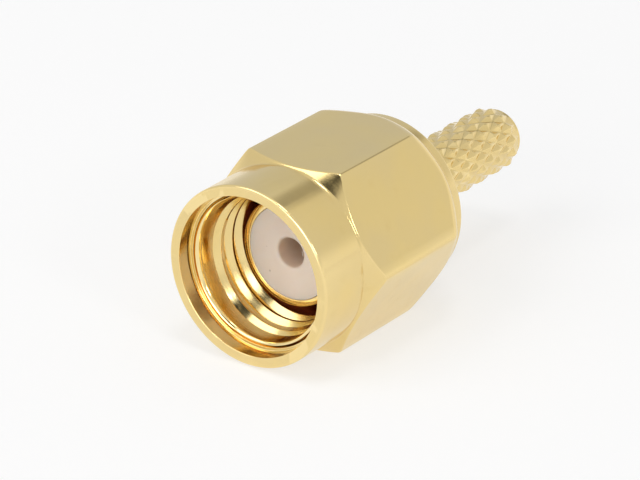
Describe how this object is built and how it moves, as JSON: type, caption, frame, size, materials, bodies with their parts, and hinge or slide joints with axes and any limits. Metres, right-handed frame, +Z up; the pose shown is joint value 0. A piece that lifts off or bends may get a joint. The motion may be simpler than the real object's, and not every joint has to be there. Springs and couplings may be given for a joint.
{
  "type": "sma connector",
  "caption": "Straight SMA plug with a free-turning hexagon coupling nut, white insulator and a knurled crimp stem for thin coaxial cable.",
  "frame": {"origin": "on the plug's axis, in the reference plane at the front face of the outer conductor and insulator, where the contact bore opens", "axes": "+Y runs along the axis from the mouth towards the crimp stem, +Z up through the middle of a nut flat, the plug lies on the opposite flat"},
  "size_m": [0.0092, 0.0181, 0.008],
  "materials": {
    "gold_plate": "gold plated brass, satin turned surface",
    "spring_bronze": "plain spring bronze",
    "silicone": "matte red-brown silicone",
    "ptfe": "smooth waxy white PTFE"
  },
  "bodies": {
    "plug": {"connector_body": "gold_plate", "retaining_ring": "spring_bronze", "gasket": "silicone", "insulator": "ptfe", "crimp_stem": "gold_plate"},
    "nut": {"coupling_nut": "gold_plate"}
  },
  "joints": [
    {"name": "nut_spin", "type": "hinge", "parent": "plug", "child": "nut", "pos_m": [0, 0.004, 0], "axis": [0, 1, 0], "continuous": true}
  ]
}
